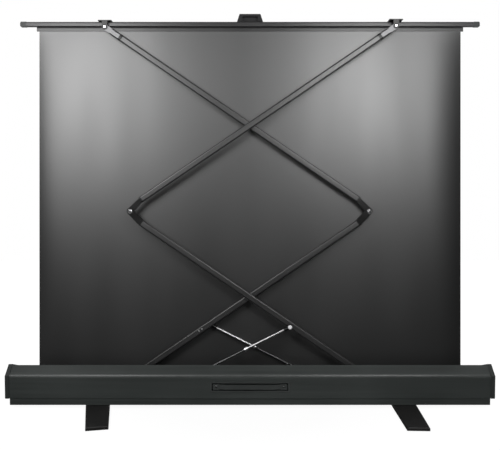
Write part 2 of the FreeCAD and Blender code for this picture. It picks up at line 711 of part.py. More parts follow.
def arm_fitting(label, frame, outline, collar, plug, eye, forked):
    """An end casting: a plug in the tube, a shoulder, and a tongue or a fork with an eye."""
    body = new_body(label)
    sketch = sketch_on(body, "XZ_Plane")
    draw_loop(sketch, outline)
    pad(body, sketch, d.arm_thick if forked else d.tongue_thick, both_ways=True)
    if forked:
        gap = sketch_on(body, "XZ_Plane")
        draw_loop(gap, rectangle(collar[1], eye[1] - d.elbow_reach,
                                 eye[0] + d.elbow_reach, eye[1] + d.elbow_reach))
        pocket(body, gap, d.tongue_thick + 2 * d.fork_clear, both_ways=True)
    shoulder = sketch_on(body, "YZ_Plane", collar[0])
    draw_loop(shoulder, oval(d.arm_thick / 2))
    pad(body, shoulder, collar[1] - collar[0])
    inside = sketch_on(body, "YZ_Plane", plug[0])
    draw_loop(inside, oval(d.arm_thick / 2 - d.arm_wall - d.pin_clear))
    pad(body, inside, plug[1] - plug[0])
    bore = sketch_on(body, "XZ_Plane")
    draw_circle(bore, eye[0], eye[1], d.pin_radius + d.pin_clear)
    pocket(body, bore, d.arm_thick * 2, both_ways=True)
    keep(place(body, *frame), label)


def end_fitting(label, frame):
    """The tongue at an end pivot."""
    half = (d.arm_width - d.tongue_thick) / 2
    outline = [(0, -d.eye_radius), (d.arm_start, -half), (d.arm_start, half), (0, d.eye_radius, "arc")]
    arm_fitting(label, frame, outline, (d.arm_start - d.end_collar, d.arm_start),
                (d.arm_start, d.arm_start + d.plug_length), (0, 0), False)


def elbow_fitting(label, frame, forked):
    """The tongue or fork at an elbow, whose eye is off the middle of the tube."""
    half = d.arm_width / 2 if forked else (d.arm_width - d.tongue_thick) / 2
    tube_end = d.arm_length - d.elbow_reach
    outline = [(tube_end, -half), (d.arm_length, d.elbow_offset - d.elbow_eye, "arc"),
               (d.arm_length, d.elbow_offset + d.elbow_eye), (tube_end, half)]
    arm_fitting(label, frame, outline, (tube_end, tube_end + d.collar_length),
                (tube_end - d.plug_length, tube_end), (d.arm_length, d.elbow_offset), forked)


def ball_stud(label, frame):
    """The stud pressed into the lug of a lower arm that the strut's socket turns on, with its end nut."""
    at = (*frame, shift(d.strut_reach, 0, -d.strut_drop))
    nut_low = d.strut_side + d.socket_radius + d.fit_gap
    nut_high = nut_low + d.nut_depth
    shank = rod_along("y", d.stud_radius, d.arm_thick / 2, nut_low, *at)
    nut = revolved(label + "_nut", [(nut_low, 0), (nut_high, 0), (nut_high, d.nut_crown),
                                    (nut_low, d.nut_radius)], *at, turn("z", 90))
    middle = ball(d.ball_radius, *at, shift(0, d.strut_side))
    keep(joined(shank, middle, nut), label)


def make_arms():
    for chain in CHAINS:
        lower = LOWER_FRAME[chain]
        upper = UPPER_FRAME[chain]
        arm_tube(f"{chain}_lower_arm", lower, True)
        end_fitting(f"{chain}_lower_foot_end", lower)
        elbow_fitting(f"{chain}_lower_elbow_fork", lower, True)
        ball_stud(f"{chain}_ball_stud", lower)
        arm_tube(f"{chain}_upper_arm", upper, False)
        elbow_fitting(f"{chain}_upper_elbow_tongue", upper, False)
        end_fitting(f"{chain}_upper_top_end", upper)
        keep(make_rivet(f"{chain}_elbow_rivet", *lower, shift(d.arm_length, 0, d.elbow_offset)),
             f"{chain}_elbow_rivet")


def make_struts():
    """Gas struts: a cylinder in the case, a rod with an extension sleeve, a socket at each end."""
    rod_end = CYLINDER_START + d.rod_inside
    piston = d.cylinder_bore - d.rod_clear
    sleeve_start = d.socket_length
    collar_end = d.sleeve_end + d.collar_width
    gland_bore = d.rod_radius + d.rod_clear
    for chain in CHAINS:
        frame = STRUT_FRAME[chain]
        housing = rod_along("x", d.socket_radius, -d.socket_radius, d.socket_length, *frame)
        seat = ball(d.ball_radius + d.fit_gap, *frame)
        mouth = rod_along("y", d.stud_radius + d.mouth_clear, -2 * d.socket_radius, 2 * d.socket_radius,
                          *frame)
        keep(cut(housing, seat, mouth), f"{chain}_strut_socket")

        keep(revolved(f"{chain}_strut_rod", [
            (sleeve_start, 0), (rod_end, 0), (rod_end, piston), (rod_end - d.gland_length, piston),
            (rod_end - d.gland_length, d.rod_radius), (collar_end, d.rod_radius),
            (collar_end, d.collar_radius), (d.sleeve_end, d.collar_radius),
            (d.sleeve_end, d.sleeve_radius), (sleeve_start, d.sleeve_radius)], *frame),
            f"{chain}_strut_rod")

        keep(revolved(f"{chain}_strut_cylinder", [
            (CYLINDER_START, gland_bore), (CYLINDER_START + d.gland_length, gland_bore),
            (CYLINDER_START + d.gland_length, d.cylinder_bore),
            (CYLINDER_END - d.gland_length, d.cylinder_bore), (CYLINDER_END - d.gland_length, 0),
            (CYLINDER_END, 0), (CYLINDER_END, d.cylinder_radius),
            (CYLINDER_START, d.cylinder_radius)], *frame),
            f"{chain}_strut_cylinder")

        foot = rod_along("x", d.socket_radius, CYLINDER_END, d.strut_length + d.socket_radius, *frame)
        keep(foot, f"{chain}_strut_foot")


def make_strut_anchors():
    """Upright plates on the case floor beside the struts' lower pivots."""
    face = d.socket_radius + d.fit_gap
    low = FLOOR_Z - ANCHOR_Z
    flange_y = (face, face + d.anchor_flange)
    frames = {
        "rear": (shift(ANCHOR_X, d.rear_chain_y - d.strut_side, ANCHOR_Z), turn("z", 180)),
        "front": (shift(-ANCHOR_X, FRONT_CHAIN_Y + d.strut_side, ANCHOR_Z),),
    }
    for chain in CHAINS:
        length = (-d.anchor_half, d.anchor_half)
        plate = block(length, (face, face + d.anchor_thick), (low, d.anchor_rise))
        foot = block(length, flange_y, (low, low + d.anchor_thick))
        hole = rod_along("y", d.stud_radius, face - d.anchor_thick, face + 2 * d.anchor_thick)
        keep(place(cut(joined(plate, foot), hole), *frames[chain]), f"{chain}_strut_anchor")


def make_top_bar():
    half_depth = d.bar_depth / 2
    half_height = d.bar_height / 2
    middle = (0, (BAR_REAR_Y + BAR_FRONT_Y) / 2, (BAR_TOP_Z + BAR_BOTTOM_Z) / 2)
    outer = rectangle(-half_depth, -half_height, half_depth, half_height)
    inner = rectangle(d.bar_wall - half_depth, d.bar_wall - half_height,
                      half_depth - d.bar_wall, half_height - d.bar_wall)
    keep(extruded("bar_rail", "YZ_Plane", [outer, inner], BAR_LENGTH, shift(*middle)), "bar_rail")
    plug_half = half_depth - d.bar_wall - d.pin_clear
    plug_height = half_height - d.bar_wall - d.pin_clear
    caps = []
    for _, side in SIDES:
        end = (shift(side * BAR_LENGTH / 2, *middle[1:]), turn("z", 90 - 90 * side))
        cap = new_body("bar_end_cap")
        cover = sketch_on(cap, "YZ_Plane")
        draw_loop(cover, outer)
        pad(cap, cover, d.bar_cap)
        soften(cap, d.bar_cap_bevel,
               lambda edge: all(vertex.X > d.bar_cap.value - TOUCH for vertex in edge.Vertexes), "Chamfer")
        plug = sketch_on(cap, "YZ_Plane")
        draw_loop(plug, rectangle(-plug_half, -plug_height, plug_half, plug_height))
        pad(cap, plug, d.plug_length, backwards=True)
        caps.append(place(cap, *end))
    keep(group(*caps), "bar_end_caps")


def make_fabric_clamp():
    """A channel along the lower front edge of the bar that holds the cloth."""
    rear = BAR_FRONT_Y
    slot_rear = rear + d.clamp_leaf
    slot_front = FABRIC_FRONT_Y + d.fabric_gap
    front = slot_front + d.clamp_leaf
    low = BAR_BOTTOM_Z - d.clamp_drop
    slot_top = FABRIC_TOP_Z + d.fabric_gap
    bridge = slot_top + d.clamp_leaf
    top = BAR_BOTTOM_Z + d.clamp_seat
    profile = [(rear, low), (slot_rear, low), (slot_rear, slot_top), (slot_front, slot_top),
               (slot_front, low), (front, low), (front, bridge), (slot_rear, bridge),
               (slot_rear, top), (rear, top)]
    clamp_length = d.fabric_width + 2 * d.roller_extra
    keep(extruded("fabric_clamp", "YZ_Plane", [profile], clamp_length), "fabric_clamp")


def make_saddles():
    """Brackets over the top bar whose forks hold the upper pivots."""
    chain_y = {"rear": d.rear_chain_y, "front": FRONT_CHAIN_Y}
    chain_x = {"rear": d.pivot_span, "front": -d.pivot_span}
    pins = []
    for chain in CHAINS:
        frame = (shift(chain_x[chain], chain_y[chain], TOP_PIVOT_Z),)
        top = (d.bar_rise, d.bar_rise + d.saddle_plate)
        reach = BAR_FRONT_Y - chain_y[chain]
        shapes = [block((-d.saddle_half, d.saddle_half), (-d.arm_thick / 2, reach), top)]
        for side in (-1, 1):
            face = (side * EAR_MIDDLE - EAR_THICK / 2, side * EAR_MIDDLE + EAR_THICK / 2)
            shapes.append(block((-d.eye_radius, d.eye_radius), face, (0, d.bar_rise)))
            shapes.append(rod_along("y", d.eye_radius, *face))
        bore = rod_along("y", d.pin_radius + d.pin_clear, -d.arm_thick, d.arm_thick)
        keep(place(cut(joined(*shapes), bore), *frame), f"{chain}_saddle")
        pins.append(make_rivet(f"{chain}_saddle_pin", *frame))
    keep(group(*pins), "saddle_pins")


def make_pull_handle():
    """A tapered grip on the middle of the top bar, hollowed at the back for the fingers."""
    foot = d.grip_base / 2
    top = d.grip_top / 2
    hollow = d.grip_hollow / 2
    inner_top = d.grip_height - d.grip_bar
    outer = [(-foot, 0), (foot, 0), (top, d.grip_height), (-top, d.grip_height)]
    handle = extruded("pull_handle", "XZ_Plane", [outer], d.grip_depth,
                      shift(0, (BAR_REAR_Y + BAR_FRONT_Y) / 2, BAR_TOP_Z))
    upper = inner_top.value
    along = runs_along("y")
    soften(handle, d.grip_round, lambda edge: along(edge) and edge.Vertexes[0].Z > upper)
    recess = sketch_on(handle, "XZ_Plane", d.grip_depth / 2)
    draw_loop(recess, rectangle(-hollow, d.grip_foot, hollow, inner_top))
    pocket(handle, recess, d.grip_depth - d.grip_web)
    keep(handle, "pull_handle")


def make_cloth():
    half_width = d.fabric_width / 2
    middle_y = (FABRIC_REAR_Y + FABRIC_FRONT_Y) / 2
    sheet_outline = rectangle(-half_width, d.roller_z, half_width, FABRIC_TOP_Z)
    keep(extruded("screen_fabric", "XZ_Plane", [sheet_outline], d.fabric_thick, shift(0, middle_y)),
         "screen_fabric")


def make_roller():
    """A tube that a coiled spring turns about a fixed spindle, so that it winds the cloth in."""
    axis = (shift(0, ROLLER_Y, d.roller_z),)
    half = d.fabric_width / 2 + d.roller_extra
    bore = d.roller_radius - d.roller_wall
    bulkhead_x = CASE_LENGTH / 2
    plug = bore - d.pin_clear
    running = d.arbor_radius + d.arbor_clear
    keep(revolved("roller_tube", rectangle(-half, bore, half, d.roller_radius), *axis), "roller_tube")
    cloth_half = d.fabric_width / 2
    keep(revolved("fabric_roll", rectangle(-cloth_half, d.roller_radius, cloth_half, ROLL_RADIUS), *axis),
         "fabric_roll")
    left_plug = revolved("left_plug", [
        (-half - d.plug_flange, running), (d.plug_depth - half, running), (d.plug_depth - half, plug),
        (-half, plug), (-half, d.roller_radius), (-half - d.plug_flange, d.roller_radius)], *axis)
    right_plug = revolved("right_plug", [
        (half - d.plug_depth, 0), (bulkhead_x, 0), (bulkhead_x, d.arbor_radius),
        (half + d.plug_flange, d.arbor_radius), (half + d.plug_flange, d.roller_radius),
        (half, d.roller_radius), (half, plug), (half - d.plug_depth, plug)], *axis)
    keep(group(left_plug, right_plug), "roller_plugs")
    spring_start = d.plug_depth - half
    keep(revolved("roller_spring", rectangle(spring_start, d.spring_radius - d.spring_wall,
                                             spring_start + d.spring_length, d.spring_radius), *axis),
         "roller_spring")
    keep(rod_along("x", d.arbor_radius, -bulkhead_x, d.arbor_length - bulkhead_x, *axis), "roller_arbor")


def make_feet():
    """Long flat feet that turn about a bolt under the case, on rubber pads."""
    waist = d.foot_waist / 2
    tip = d.foot_tip / 2
    plan = [(-tip, -d.foot_half), (tip, -d.foot_half), (waist, -d.foot_shoulder),
            (waist, d.foot_shoulder), (tip, d.foot_half), (-tip, d.foot_half),
            (-waist, d.foot_shoulder), (-waist, -d.foot_shoulder)]
    top_z = d.pad_thick + d.foot_thick
    swing = {"left": -d.left_swing, "right": d.right_swing}
    bolts = []
    for name, side in SIDES:
        frame = (shift(side * FOOT_X), turn("z", -swing[name]))
        foot = new_body(f"foot_{name}")
        sketch = sketch_on(foot, "XY_Plane", d.pad_thick)
        draw_loop(sketch, plan)
        pad(foot, sketch, d.foot_thick)
        soften(foot, d.foot_bevel,
               lambda edge: all(vertex.Z > top_z.value - TOUCH for vertex in edge.Vertexes), "Chamfer")
        boss = sketch_on(foot, "XY_Plane", top_z)
        draw_circle(boss, 0, 0, d.boss_radius)
        pad(foot, boss, d.base_z - top_z - d.fit_gap)
        bore = sketch_on(foot, "XY_Plane")
        draw_circle(bore, 0, 0, d.bolt_radius + d.bolt_clear)
        pocket(foot, bore, 2 * d.base_z, backwards=True)
        recess = sketch_on(foot, "XY_Plane")
        draw_circle(recess, 0, 0, d.bolt_head + d.fit_gap)
        pocket(foot, recess, d.pad_thick + d.bolt_head_height + 2 * d.fit_gap, backwards=True)
        keep(place(foot, *frame), f"foot_{name}")

        pads = []
        for end in (-1, 1):
            pad_middle = end * (d.foot_half - d.pad_inset - d.pad_length / 2)
            pad_half = tip - d.pad_inset
            cushion = extruded("foot_pad", "XY_Plane",
                               [rectangle(-pad_half, pad_middle - d.pad_length / 2,
                                          pad_half, pad_middle + d.pad_length / 2)],
                               d.pad_thick, *frame, shift(0, 0, d.pad_thick / 2))
            pads.append(soften(cushion, d.pad_inset, runs_along("z")))
        keep(group(*pads), f"foot_pads_{name}")

        centre = (shift(side * FOOT_X),)
        head_low = d.pad_thick + d.fit_gap
        head = rod_along("z", d.bolt_head, head_low, head_low + d.bolt_head_height, *centre)
        shank = rod_along("z", d.bolt_radius, head_low, FLOOR_Z + d.nut_height, *centre)
        nut = rod_along("z", d.bolt_head, FLOOR_Z, FLOOR_Z + d.nut_height, *centre)
        bolts.append(joined(head, shank, nut))
    keep(group(*bolts), "foot_pivot_bolts")


def make_lid():
    """A flat cover hinged at the front shoulder. It is shown swung open, hanging in front."""
    top = d.hinge_leaf + d.lid_wall
    panel = [(d.lid_start, d.hinge_leaf), (d.lid_depth - d.lid_wall, d.hinge_leaf),
             (d.lid_depth - d.lid_wall, d.hinge_leaf - d.lid_lip), (d.lid_depth, d.hinge_leaf - d.lid_lip),
             (d.lid_depth, top), (d.lid_start, top)]
    keep(extruded("lid_panel", "YZ_Plane", [panel], LID_LENGTH, *LID_FRAME), "lid_panel")

    axis = (shift(0, HINGE_Y, d.shoulder_z),)
    wall = (shift(0, d.half_depth, d.shoulder_z), turn("x", -FACE_LEAN))
    half = d.hinge_barrel / 2
    end = d.hinge_barrel
    leaves = []
    knuckles = []
    for share in HINGE_PLACES:
        here = shift(share * HINGE_X)
        leaf = block((-end, end), (0, d.hinge_leaf), (-d.hinge_drop, -d.hinge_radius), here, *wall)
        neck = block((-half, half), (-d.hinge_out + d.fit_gap, 0), (-d.hinge_radius - d.hinge_leaf, 0),
                     here, *axis)
        barrel = rod_along("x", d.hinge_radius, -half, half, here, *axis)
        pin = rod_along("x", d.hinge_pin, -end, end, here, *axis)
        leaves.append(joined(leaf, neck, barrel, pin))
        for side in (-1, 1):
            low = side * (half + end) / 2 - half / 2 + d.fit_gap
            high = side * (half + end) / 2 + half / 2 - d.fit_gap
            strap = block((low, high), (0, d.hinge_reach), (0, d.hinge_leaf), here, *LID_FRAME)
            ring = rod_along("x", d.hinge_radius, low, high, here, *LID_FRAME)
            bore = rod_along("x", d.hinge_pin + d.pin_clear, low - half, high + half, here, *LID_FRAME)
            knuckles.append(cut(joined(strap, ring), bore))
    keep(group(*leaves), "lid_hinge_leaves")
    keep(group(*knuckles), "lid_hinge_knuckles")


def check_and_write():
    """Stop if any object failed, then write each sub-part to its own file."""
    doc.recompute()
    for item in doc.Objects:
        if "Invalid" in item.State or "Error" in item.State:
            raise RuntimeError(f"{item.Label} failed: {item.State}")
    os.makedirs("parts", exist_ok=True)
    for piece in pieces:
        if piece.Shape.isNull() or not piece.Shape.isValid():
            raise RuntimeError(f"{piece.Label} has no valid shape")
    for piece in pieces:
        piece.Shape.exportStep(f"parts/{piece.Label}.step")
    print(len(pieces), "pieces")


make_case_shell()
make_end_caps()
make_bulkheads()
make_carry_handle()
make_arm_brackets()
make_arms()
make_struts()
make_strut_anchors()
make_top_bar()
make_fabric_clamp()
make_saddles()
make_pull_handle()
make_cloth()
make_roller()
make_feet()
make_lid()
check_and_write()
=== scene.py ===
# %% [markdown]
# A floor-standing projection screen, dressed for its portrait
# The frame of the screen is already built at its real size: a low case, crossed folding arms, a top bar,
# gas struts and feet. This lesson gives every piece its finish, makes the soft cloth and the small
# fasteners, and then sets up the light and the camera. All lengths are metres, with +Z up, +X along the
# case and -Y towards the back of the screen, where the arms are.

# %% Load the frame
import json
import math

import bpy
import numpy as np
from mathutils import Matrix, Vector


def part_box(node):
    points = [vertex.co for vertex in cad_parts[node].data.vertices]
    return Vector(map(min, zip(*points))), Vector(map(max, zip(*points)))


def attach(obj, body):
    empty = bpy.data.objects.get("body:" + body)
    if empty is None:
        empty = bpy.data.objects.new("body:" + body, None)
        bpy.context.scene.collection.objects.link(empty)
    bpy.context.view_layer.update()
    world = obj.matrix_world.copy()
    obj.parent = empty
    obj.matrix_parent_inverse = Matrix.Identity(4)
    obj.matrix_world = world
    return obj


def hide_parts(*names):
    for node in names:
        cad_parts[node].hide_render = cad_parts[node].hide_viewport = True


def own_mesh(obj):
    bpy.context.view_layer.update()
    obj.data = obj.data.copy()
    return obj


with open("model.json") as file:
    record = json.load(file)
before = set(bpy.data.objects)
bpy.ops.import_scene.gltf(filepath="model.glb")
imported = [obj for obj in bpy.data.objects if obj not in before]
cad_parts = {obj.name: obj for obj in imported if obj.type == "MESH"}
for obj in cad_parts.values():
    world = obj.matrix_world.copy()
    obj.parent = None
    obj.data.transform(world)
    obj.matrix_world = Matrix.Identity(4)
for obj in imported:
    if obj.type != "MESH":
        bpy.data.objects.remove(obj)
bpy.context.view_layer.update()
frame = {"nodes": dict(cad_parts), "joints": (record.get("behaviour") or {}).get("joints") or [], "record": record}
nodes = frame["nodes"]

# %% [markdown]
# Materials are small graphs of nodes. A few helpers keep them readable: they add a node and fill its
# sockets, make a noise, spread a value, do one step of arithmetic, mix two colours and raise a bump. The
# noise can be stretched, which is how drawn metal, cast metal and moulded plastic differ. Every pattern
# reads Object coordinates, so a millimetre in the pattern is a millimetre on the piece.

# %% Helpers for materials


def fill(tree, socket, value):
    """Links another node's output to a socket, or sets the socket to a plain value."""
    if isinstance(value, bpy.types.NodeSocket):
        tree.links.new(value, socket)
    else:
        socket.default_value = value


def wire(tree, node, **sockets):
    """Fills the sockets that are named, with an underscore for each space in a name."""
    for name, value in sockets.items():
        fill(tree, node.inputs[name.replace("_", " ")], value)


def add(tree, kind, settings=None, **sockets):
    """Adds a node, sets its own settings, and fills the sockets that are named."""
    made = tree.nodes.new("ShaderNode" + kind)
    for name, value in (settings or {}).items():
        setattr(made, name, value)
    wire(tree, made, **sockets)
    return made


def emptied(owner):
    """Turns on the graph of a material or a world, and clears it."""
    owner.use_nodes = True
    owner.node_tree.nodes.clear()
    return owner.node_tree


def new_material(name):
    """An empty material with a Principled shader wired to its output."""
    material = bpy.data.materials.new(name)
    tree = emptied(material)
    shader = add(tree, "BsdfPrincipled")
    add(tree, "OutputMaterial", Surface=shader.outputs[0])
    return material, tree, shader


def stretched_noise(tree, scale, stretch=(1, 1, 1), tilt=0.0, detail=3.0):
    """Noise on Object coordinates, turned about Y by the tilt and then stretched along each axis."""
    where = add(tree, "TexCoord").outputs["Object"]
    if tilt:
        where = add(tree, "Mapping", Vector=where, Rotation=(0, tilt, 0)).outputs[0]
    mapped = add(tree, "Mapping", Vector=where, Scale=stretch)
    return add(tree, "TexNoise", Vector=mapped.outputs[0], Scale=scale, Detail=detail).outputs["Fac"]


def ranged(tree, value, low, high, start=0.3, stop=0.7):
    """Spreads the part of a value between start and stop over low to high."""
    spread = add(tree, "MapRange", Value=value, From_Min=start, From_Max=stop, To_Min=low, To_Max=high)
    return spread.outputs["Result"]


def calc(tree, operation, *values, kind="Math"):
    """One step of arithmetic on values that are numbers or other nodes' outputs."""
    step = add(tree, kind, {"operation": operation})
    for value, socket in zip(values, step.inputs):
        fill(tree, socket, value)
    return step.outputs["Value"] if "Value" in step.outputs else step.outputs[0]


def tinted(tree, value, dark, light):
    """A colour between dark and light, chosen by a value from 0 to 1."""
    mix = add(tree, "Mix", {"data_type": "RGBA"})
    fill(tree, mix.inputs[0], value)
    for colour, socket in ((dark, mix.inputs[6]), (light, mix.inputs[7])):
        fill(tree, socket, colour if isinstance(colour, bpy.types.NodeSocket) else (*colour, 1))
    return mix.outputs[2]


def bumped(tree, height, depth, strength=1.0, below=None):
    """A bump whose full height is the depth, in metres, on top of another bump if one is given."""
    sockets = {"Height": height, "Distance": depth, "Strength": strength}
    if below is not None:
        sockets["Normal"] = below
    return add(tree, "Bump", **sockets).outputs[0]


# %% [markdown]
# Metal pieces. An extrusion carries fine lines along the way it was pressed, so its noise is stretched
# many times in that direction. A casting is cloudy and pebbled instead. Plated and polished pieces are
# nearly plain, with a little change of gloss where they were handled.

# %% Metal finishes
ALONG_X = (0.02, 1, 1)
SUM_OF_TWO = (0.7, 1.3)


def drawn_metal(name, dark, light, rough, metallic, gloss, tilt=0.0):
    """An extrusion: lines along it in colour, gloss and a shallow bump, with slow clouds of handling."""
    material, tree, shader = new_material(name)
    lines = stretched_noise(tree, scale=90, stretch=ALONG_X, tilt=tilt, detail=4)
    clouds = stretched_noise(tree, scale=3.5)
    both = calc(tree, "ADD", lines, clouds)
    wire(tree, shader, Metallic=metallic, Specular_IOR_Level=gloss,
         Base_Color=tinted(tree, ranged(tree, both, 0, 1, *SUM_OF_TWO), dark, light),
         Roughness=ranged(tree, both, *rough, *SUM_OF_TWO),
         Normal=bumped(tree, lines, depth=0.00004, strength=0.5))
    return material


def cast_metal(name, dark, light, rough, grain, metallic=1.0):
    """A casting or plated part: cloudy colour and gloss, and a bump of pebbles as wide as the grain."""
    material, tree, shader = new_material(name)
    clouds = stretched_noise(tree, scale=60)
    pebbles = stretched_noise(tree, scale=1.0 / grain, detail=2)
    wire(tree, shader, Metallic=metallic,
         Base_Color=tinted(tree, ranged(tree, clouds, 0, 1), dark, light),
         Roughness=ranged(tree, clouds, *rough),
         Normal=bumped(tree, pebbles, depth=0.00003, strength=0.4))
    return material


ARM_SLOPE = math.radians(34.25)
case_finish = drawn_metal("case_satin_black", (0.0165, 0.0190, 0.0181), (0.0265, 0.0302, 0.0289),
                          rough=(0.38, 0.47), metallic=0.0, gloss=0.42)
bar_finish = drawn_metal("bar_satin_grey", (0.010, 0.010, 0.0104), (0.018, 0.018, 0.0185),
                         rough=(0.36, 0.44), metallic=0.0, gloss=0.40)
arm_finish = {
    side: drawn_metal(f"arm_satin_{side}", (0.008, 0.008, 0.0081), (0.013, 0.013, 0.0132),
                      rough=(0.38, 0.46), metallic=0.0, gloss=0.65, tilt=tilt)
    for side, tilt in (("rising", ARM_SLOPE), ("falling", -ARM_SLOPE))
}
roller_finish = drawn_metal("roller_mill_metal", (0.50, 0.50, 0.51), (0.66, 0.66, 0.67),
                            rough=(0.28, 0.42), metallic=1.0, gloss=0.5)
chrome_finish = cast_metal("bright_chrome", (0.52, 0.52, 0.53), (0.64, 0.64, 0.65),
                           rough=(0.16, 0.26), grain=0.004)
zinc_finish = cast_metal("plated_steel", (0.28, 0.285, 0.29), (0.40, 0.40, 0.395),
                         rough=(0.30, 0.44), grain=0.002)
casting_finish = cast_metal("bright_casting", (0.075, 0.075, 0.077), (0.13, 0.13, 0.132),
                            rough=(0.42, 0.54), grain=0.0015)
stud_finish = cast_metal("blasted_stud", (0.60, 0.60, 0.61), (0.72, 0.72, 0.73),
                         rough=(0.48, 0.56), grain=0.002, metallic=0.4)
screw_finish = cast_metal("dark_plated_screw", (0.12, 0.12, 0.122), (0.19, 0.19, 0.192),
                          rough=(0.30, 0.44), grain=0.002)
metals = (case_finish, bar_finish, *arm_finish.values(), roller_finish, chrome_finish, zinc_finish,
          casting_finish, stud_finish, screw_finish)
print("metal finishes:", [finish.name for finish in metals])

# %% [markdown]
# A strut's moving half has three metals in one piece: a satin sleeve, a bright lock collar, and the rougher
# ground rod that slides into the cylinder. The rod's colour is darkened as painted shade, for the dim room
# that its steel mirrors. Three objects could carry the finishes, but the piece is one turned part, so one
# material changes over at each end of the collar. It measures the distance from the strut's ball along
# the strut.

# %% Strut finish
joints = {joint["name"]: joint for joint in frame["joints"]}
COLLAR_START = 0.185
COLLAR_END = 0.200
CHANGE_OVER = 0.001
SLEEVE_COLOUR = (0.36, 0.36, 0.365)
COLLAR_COLOUR = (0.62, 0.62, 0.63)
# The rod's colour is darker than steel's, as painted shade for the dim reflection it shows.
ROD_SHADED_COLOUR = (0.12, 0.12, 0.123)


def strut_metal(chain):
    """Satin sleeve, bright collar, then ground steel darkened as painted shade: steps in the distance along the
    strut.
    """
    ball = np.array(joints[f"{chain}_strut_swing"]["pos_m"])
    heading = -np.array(joints[f"{chain}_strut_slide"]["axis"])
    material, tree, shader = new_material(f"{chain}_strut_metal")
    where = add(tree, "TexCoord").outputs["Object"]
    reach = calc(tree, "DOT_PRODUCT", where, heading, kind="VectorMath")
    along = calc(tree, "SUBTRACT", reach, ball @ heading)
    past_sleeve = ranged(tree, along, 0, 1, COLLAR_START, COLLAR_START + CHANGE_OVER)
    past_collar = ranged(tree, along, 0, 1, COLLAR_END, COLLAR_END + CHANGE_OVER)
    after_sleeve = tinted(tree, past_collar, COLLAR_COLOUR, ROD_SHADED_COLOUR)
    marks = stretched_noise(tree, scale=400, detail=2)
    wire(tree, shader, Metallic=1.0,
         Base_Color=tinted(tree, past_sleeve, SLEEVE_COLOUR, after_sleeve),
         Roughness=ranged(tree, past_collar, 0.34, 0.44, 0, 1),
         Normal=bumped(tree, marks, depth=0.00002, strength=0.3))
    return material


own_finish = {f"{chain}_strut_rod": strut_metal(chain) for chain in ("rear", "front")}
own_finish.update({f"{chain}_ball_stud": stud_finish for chain in ("rear", "front")})
print("own finishes:", list(own_finish))

# %% [markdown]
# Moulded and coated pieces. Moulded black plastic has an etched leather-like grain, which is a cell
# pattern about a millimetre across. Powder paint on the feet is rounder and finer. Rubber is duller and
# a little grey where it has rubbed on floors.

# %% Plastic, paint and rubber finishes


def grained_plastic(name, dark, light, rough, cell, depth, gloss=0.3):
    """A moulding: raised cells of the given width, with gloss and colour that drift slowly over it."""
    material, tree, shader = new_material(name)
    where = add(tree, "TexCoord").outputs["Object"]
    cells = add(tree, "TexVoronoi", {"feature": "SMOOTH_F1"}, Vector=where, Scale=1.0 / cell)
    drift = stretched_noise(tree, scale=9)
    wire(tree, shader, Specular_IOR_Level=gloss,
         Base_Color=tinted(tree, ranged(tree, drift, 0, 1), dark, light),
         Roughness=ranged(tree, drift, *rough),
         Normal=bumped(tree, cells.outputs["Distance"], depth, strength=0.6))
    return material


cap_finish = grained_plastic("cap_moulding", (0.013, 0.0148, 0.0142), (0.020, 0.0226, 0.0218),
                             rough=(0.48, 0.60), cell=0.0011, depth=0.00006)
tray_finish = grained_plastic("tray_moulding", (0.018, 0.0200, 0.0194), (0.027, 0.0298, 0.0290),
                              rough=(0.52, 0.64), cell=0.0014, depth=0.00010)
fitting_finish = grained_plastic("nylon_fitting", (0.0025, 0.0025, 0.0025), (0.0045, 0.0045, 0.0046),
                                 rough=(0.28, 0.40), cell=0.0009, depth=0.00004, gloss=0.20)
grip_finish = grained_plastic("grip_moulding", (0.006, 0.006, 0.0063), (0.010, 0.010, 0.0104),
                              rough=(0.48, 0.60), cell=0.0012, depth=0.00008, gloss=0.15)
foot_finish = grained_plastic("foot_powder_paint", (0.0050, 0.0048, 0.0047), (0.009, 0.0086, 0.0084),
                              rough=(0.50, 0.62), cell=0.0007, depth=0.00005)
rubber_finish = grained_plastic("foot_rubber", (0.012, 0.012, 0.012), (0.026, 0.025, 0.024),
                                rough=(0.66, 0.84), cell=0.0022, depth=0.00012, gloss=0.2)
strut_finish = grained_plastic("strut_gloss_black", (0.005, 0.005, 0.005), (0.008, 0.008, 0.008),
                               rough=(0.14, 0.22), cell=0.0030, depth=0.00002, gloss=0.4)
mouldings = (cap_finish, tray_finish, fitting_finish, grip_finish, foot_finish, rubber_finish, strut_finish)
print("moulded and coated finishes:", [finish.name for finish in mouldings])

# %% [markdown]
# Each piece of the frame now takes the finish of its slot. The arms are split by the way they slope, so
# that the lines on each tube run along it.

# %% Dress the frame
SLOT_FINISH = {
    "case_paint": case_finish,
    "cap_plastic": cap_finish,
    "tray_plastic": tray_finish,
    "polished_metal": chrome_finish,
    "zinc_steel": zinc_finish,
    "fitting_black": fitting_finish,
    "fitting_bright": casting_finish,
    "strut_paint": strut_finish,
    "bar_metal": bar_finish,
    "grip_plastic": grip_finish,
    "roller_metal": roller_finish,
    "foot_paint": foot_finish,
    "foot_rubber": rubber_finish,
}
RISING_ARMS = ("front_lower_arm", "rear_upper_arm")
for part in frame["record"]["subparts"]:
    piece = nodes[part["node"]]
    slot = part["material_slot"]
    if slot == "arm_metal":
        finish = arm_finish["rising" if part["node"] in RISING_ARMS else "falling"]
    else:
        finish = own_finish.get(part["node"], SLOT_FINISH.get(slot, cap_finish))
    piece.data.materials.clear()
    piece.data.materials.append(finish)

# %% [markdown]
# The viewing cloth is a thin coated sheet: black and satin at the back, so that no light comes through,
# and matt white in front with a black border. It could be a plane with a thickness, but the two sides
# need different finishes, so it is two grids joined round their rim. The cloth is pulled tight, so it
# is flat.

# %% Surfaces from grids
SHARP_FROM = math.radians(35)


def placed(name, data):
    """A new object for a mesh, lamp or camera, linked into the scene."""
    made = bpy.data.objects.new(name, data)
    bpy.context.scene.collection.objects.link(made)
    return made


